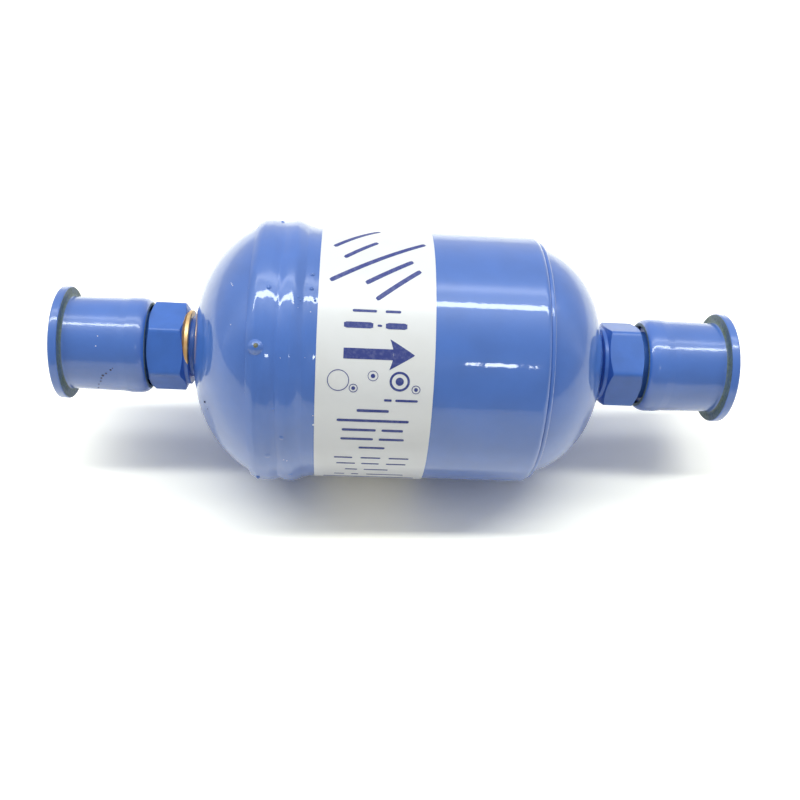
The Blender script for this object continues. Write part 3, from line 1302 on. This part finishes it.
def makeRoom():
    # world light by direction: a smooth rise from the front to the back, and two bell curves of
    # the height angle round X
    world = bpy.data.worlds.new("studio")
    bpy.context.scene.world = world
    world.use_nodes = True
    tree = world.node_tree
    tree.nodes.clear()
    place = addNode(tree, "TexCoord").outputs["Generated"]
    axes = addNode(tree, "SeparateXYZ", {0: place}).outputs
    front, back = lamps["roomSpan"]
    room, more = [addNode(tree, "MapRange", {
        "Value": axes["Y"], "From Min": front, "From Max": back,
        "To Min": lamps[name]["front"], "To Max": lamps[name]["back"],
    }, interpolation_type="SMOOTHSTEP") for name in ("room", "shown")]
    seen, fromCamera = raysThatSee(tree)
    room = addNode(tree, "Math", {0: more, 1: seen, 2: room}, operation="MULTIPLY_ADD")
    room = addNode(tree, "Math", {0: room, 1: fromCamera}, operation="MAXIMUM")
    forward = addNode(tree, "Math", {0: axes["Y"], 1: -1.0}, operation="MULTIPLY")
    height = addNode(tree, "Math", {0: axes["Z"], 1: forward}, operation="ARCTAN2")
    bells = []
    for name in ("glow", "panel"):
        size = lamps[name]
        away = addNode(tree, "Math", {0: height, 1: radians(size["height"])}, operation="SUBTRACT")
        share = addNode(tree, "Math", {0: away, 1: radians(size["spread"])}, operation="DIVIDE")
        square = addNode(tree, "Math", {0: share, 1: share}, operation="MULTIPLY")
        minus = addNode(tree, "Math", {0: square, 1: -1.0}, operation="MULTIPLY")
        bell = addNode(tree, "Math", {0: minus}, operation="EXPONENT")
        bells.append(addNode(tree, "Math", {0: bell, 1: size["radiance"]}, operation="MULTIPLY"))
    side = addNode(tree, "Math", {0: axes["X"]}, operation="ABSOLUTE")
    edge = lamps["panelReach"]
    window = addNode(tree, "MapRange", {
        "Value": side, "From Min": edge - lamps["panelFade"], "From Max": edge,
        "To Min": 1.0, "To Max": 0.0,
    })
    overhead = addNode(tree, "Math", {0: bells[1], 1: window, 2: bells[0]}, operation="MULTIPLY_ADD")
    walls = addNode(tree, "Background", {"Color": (1, 1, 1, 1), "Strength": room})
    above = addNode(tree, "Background", {"Color": lamps["cool"], "Strength": overhead})
    both = addNode(tree, "AddShader", {0: walls, 1: above})
    addNode(tree, "OutputWorld", {"Surface": both})


def towards(height, sideways):
    # unit direction at a height angle from -Y up through +Z, swung towards +X
    up, over = radians(height), radians(sideways)
    return Vector((sin(over), -cos(up) * cos(over), sin(up) * cos(over)))


def makeLamps():
    # rectangles that face the drier, long side along X; power is radiance times area times pi
    for name in ("strip", "spot"):
        size = lamps[name]
        light = bpy.data.lights.new(name, "AREA")
        light.shape = "RECTANGLE"
        light.size, light.size_y = size["long"], size["wide"]
        light.energy = size["radiance"] * pi * size["long"] * size["wide"]
        light.color = lamps["tint"]
        direction = towards(size["height"], size["sideways"])
        across = Vector((1, 0, 0))
        across = (across - direction * across.dot(direction)).normalized()
        turn = Matrix((across, direction.cross(across), direction)).transposed()
        where = direction * size["distance"] + Vector((size["shift"], 0, 0))
        lamp = bpy.data.objects.new(name, light)
        lamp.matrix_world = Matrix.Translation(where) @ turn.to_4x4()
        bpy.context.scene.collection.objects.link(lamp)


makeRoom()
makeLamps()
print("lights made")

# The camera's own axes are x to the right, y down and z forward. The drier's axis passes through
# axisPlace in the direction axisAlong, and the camera looks down at it from the elevation.
camera = {
    "axisPlace": Vector((0, -9.3235 * mm, 195.952 * mm)),
    "axisAlong": Vector((0.997455, 0.036688, 0.061131)),
    "originAlong": -0.35 * mm,
    "elevation": 48,
    "focalPixels": 940.8,
    "framePixels": 800,
    "sensor": 36,
    "near": 0.01,
    "far": 20,
}


def makeCamera():
    # the turn that takes the drier's axes, as the camera sees them, to X, front and down here
    along = camera["axisAlong"].normalized()
    facing = Vector((0, 0, -1))
    facing = (facing - along * facing.dot(along)).normalized()
    down = along.cross(facing)
    up = radians(camera["elevation"])
    alongHere = Vector((1, 0, 0))
    facingHere = Vector((0, -cos(up), sin(up)))
    downHere = Vector((0, -sin(up), -cos(up)))
    toCamera = Matrix((along, facing, down)).transposed() @ Matrix((alongHere, facingHere, downHere))
    origin = camera["axisPlace"] + along * camera["originAlong"]
    data = bpy.data.cameras.new("view")
    data.sensor_width = camera["sensor"]
    data.lens = camera["focalPixels"] / camera["framePixels"] * camera["sensor"]
    data.clip_start = camera["near"]
    data.clip_end = camera["far"]
    view = bpy.data.objects.new("view", data)
    flip = Matrix(((1, 0, 0), (0, -1, 0), (0, 0, -1)))
    back = toCamera.transposed()
    view.matrix_world = Matrix.Translation(-(back @ origin)) @ (back @ flip).to_4x4()
    bpy.context.scene.collection.objects.link(view)
    bpy.context.scene.camera = view


makeCamera()
bpy.context.scene.view_settings.view_transform = "Standard"
print("camera made")

print("size written")
